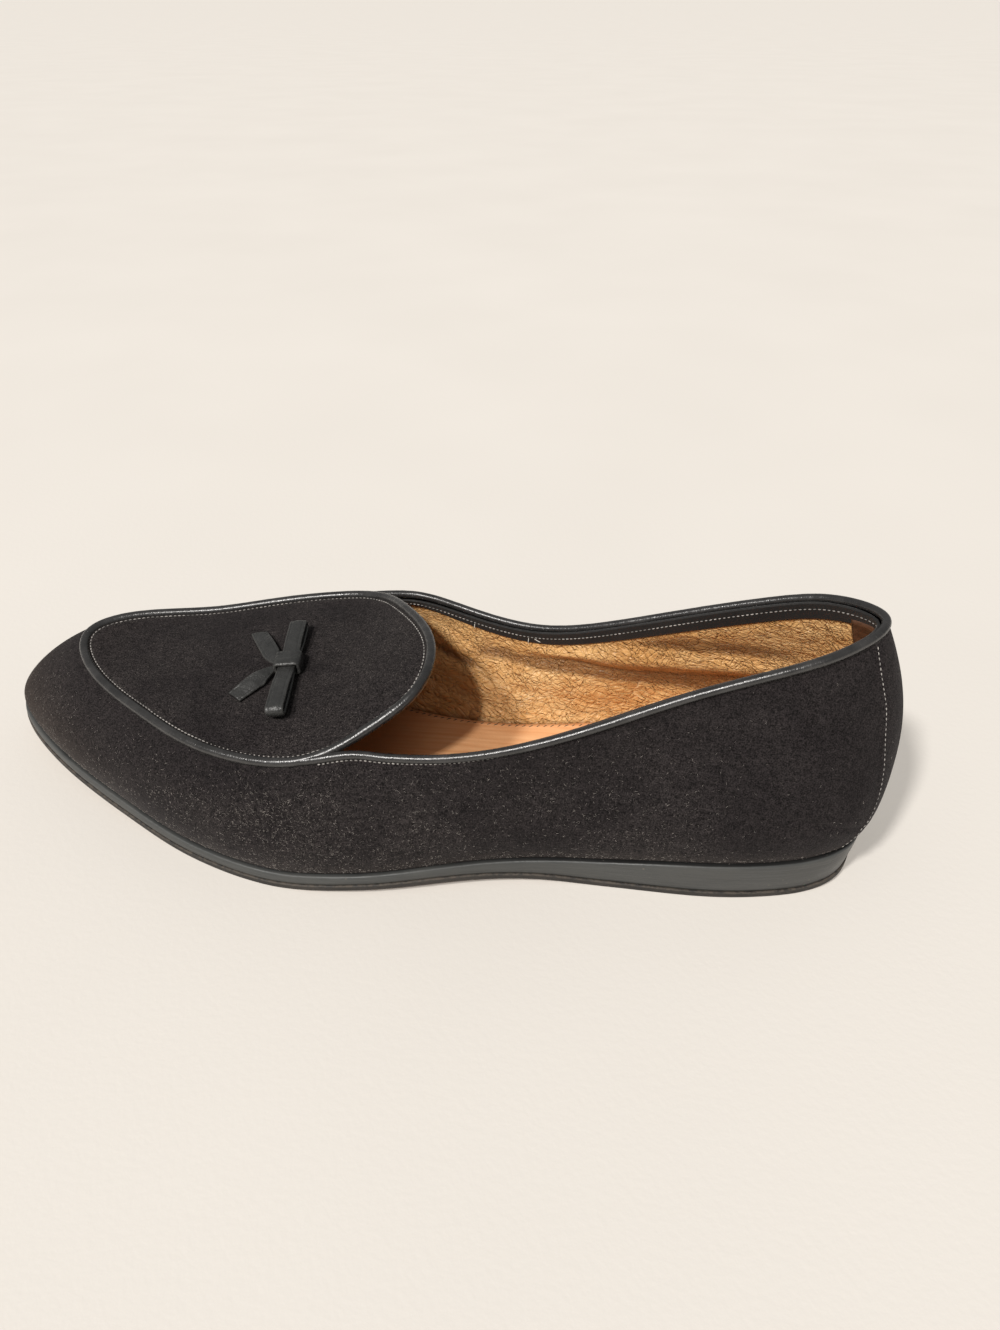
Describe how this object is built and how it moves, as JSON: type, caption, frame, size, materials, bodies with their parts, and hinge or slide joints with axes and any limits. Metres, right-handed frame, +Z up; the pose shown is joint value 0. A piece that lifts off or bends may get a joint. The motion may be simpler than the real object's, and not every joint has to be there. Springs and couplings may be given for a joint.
{
  "type": "belgian loafer",
  "caption": "Soft suede slip-on loafer with a piped apron that ends in a free tongue, a small leather bow and a thin painted wedge sole.",
  "frame": {"origin": "middle of the shoe's outline on the floor, under the outsole's two flat spots", "axes": "+X to the toe, +Y to the outer side of the foot, +Z up"},
  "size_m": [0.286, 0.0996, 0.0817],
  "materials": {
    "suede": "charcoal suede, worn browner at the toe and along the sole",
    "piping_leather": "dark grey smooth leather, half gloss",
    "insole_leather": "terracotta brown insole leather",
    "sole_edge": "stacked leather, edge painted dark grey",
    "outsole_leather": "worn dark leather"
  },
  "bodies": {
    "root": {"upper": "suede", "apron": "suede", "apron_piping": "piping_leather", "topline_piping": "piping_leather", "insole": "insole_leather", "midsole": "sole_edge", "outsole": "outsole_leather", "bow_loops": "piping_leather", "bow_knot": "piping_leather", "bow_tail_inner": "piping_leather", "bow_tail_outer": "piping_leather"}
  },
  "joints": []
}
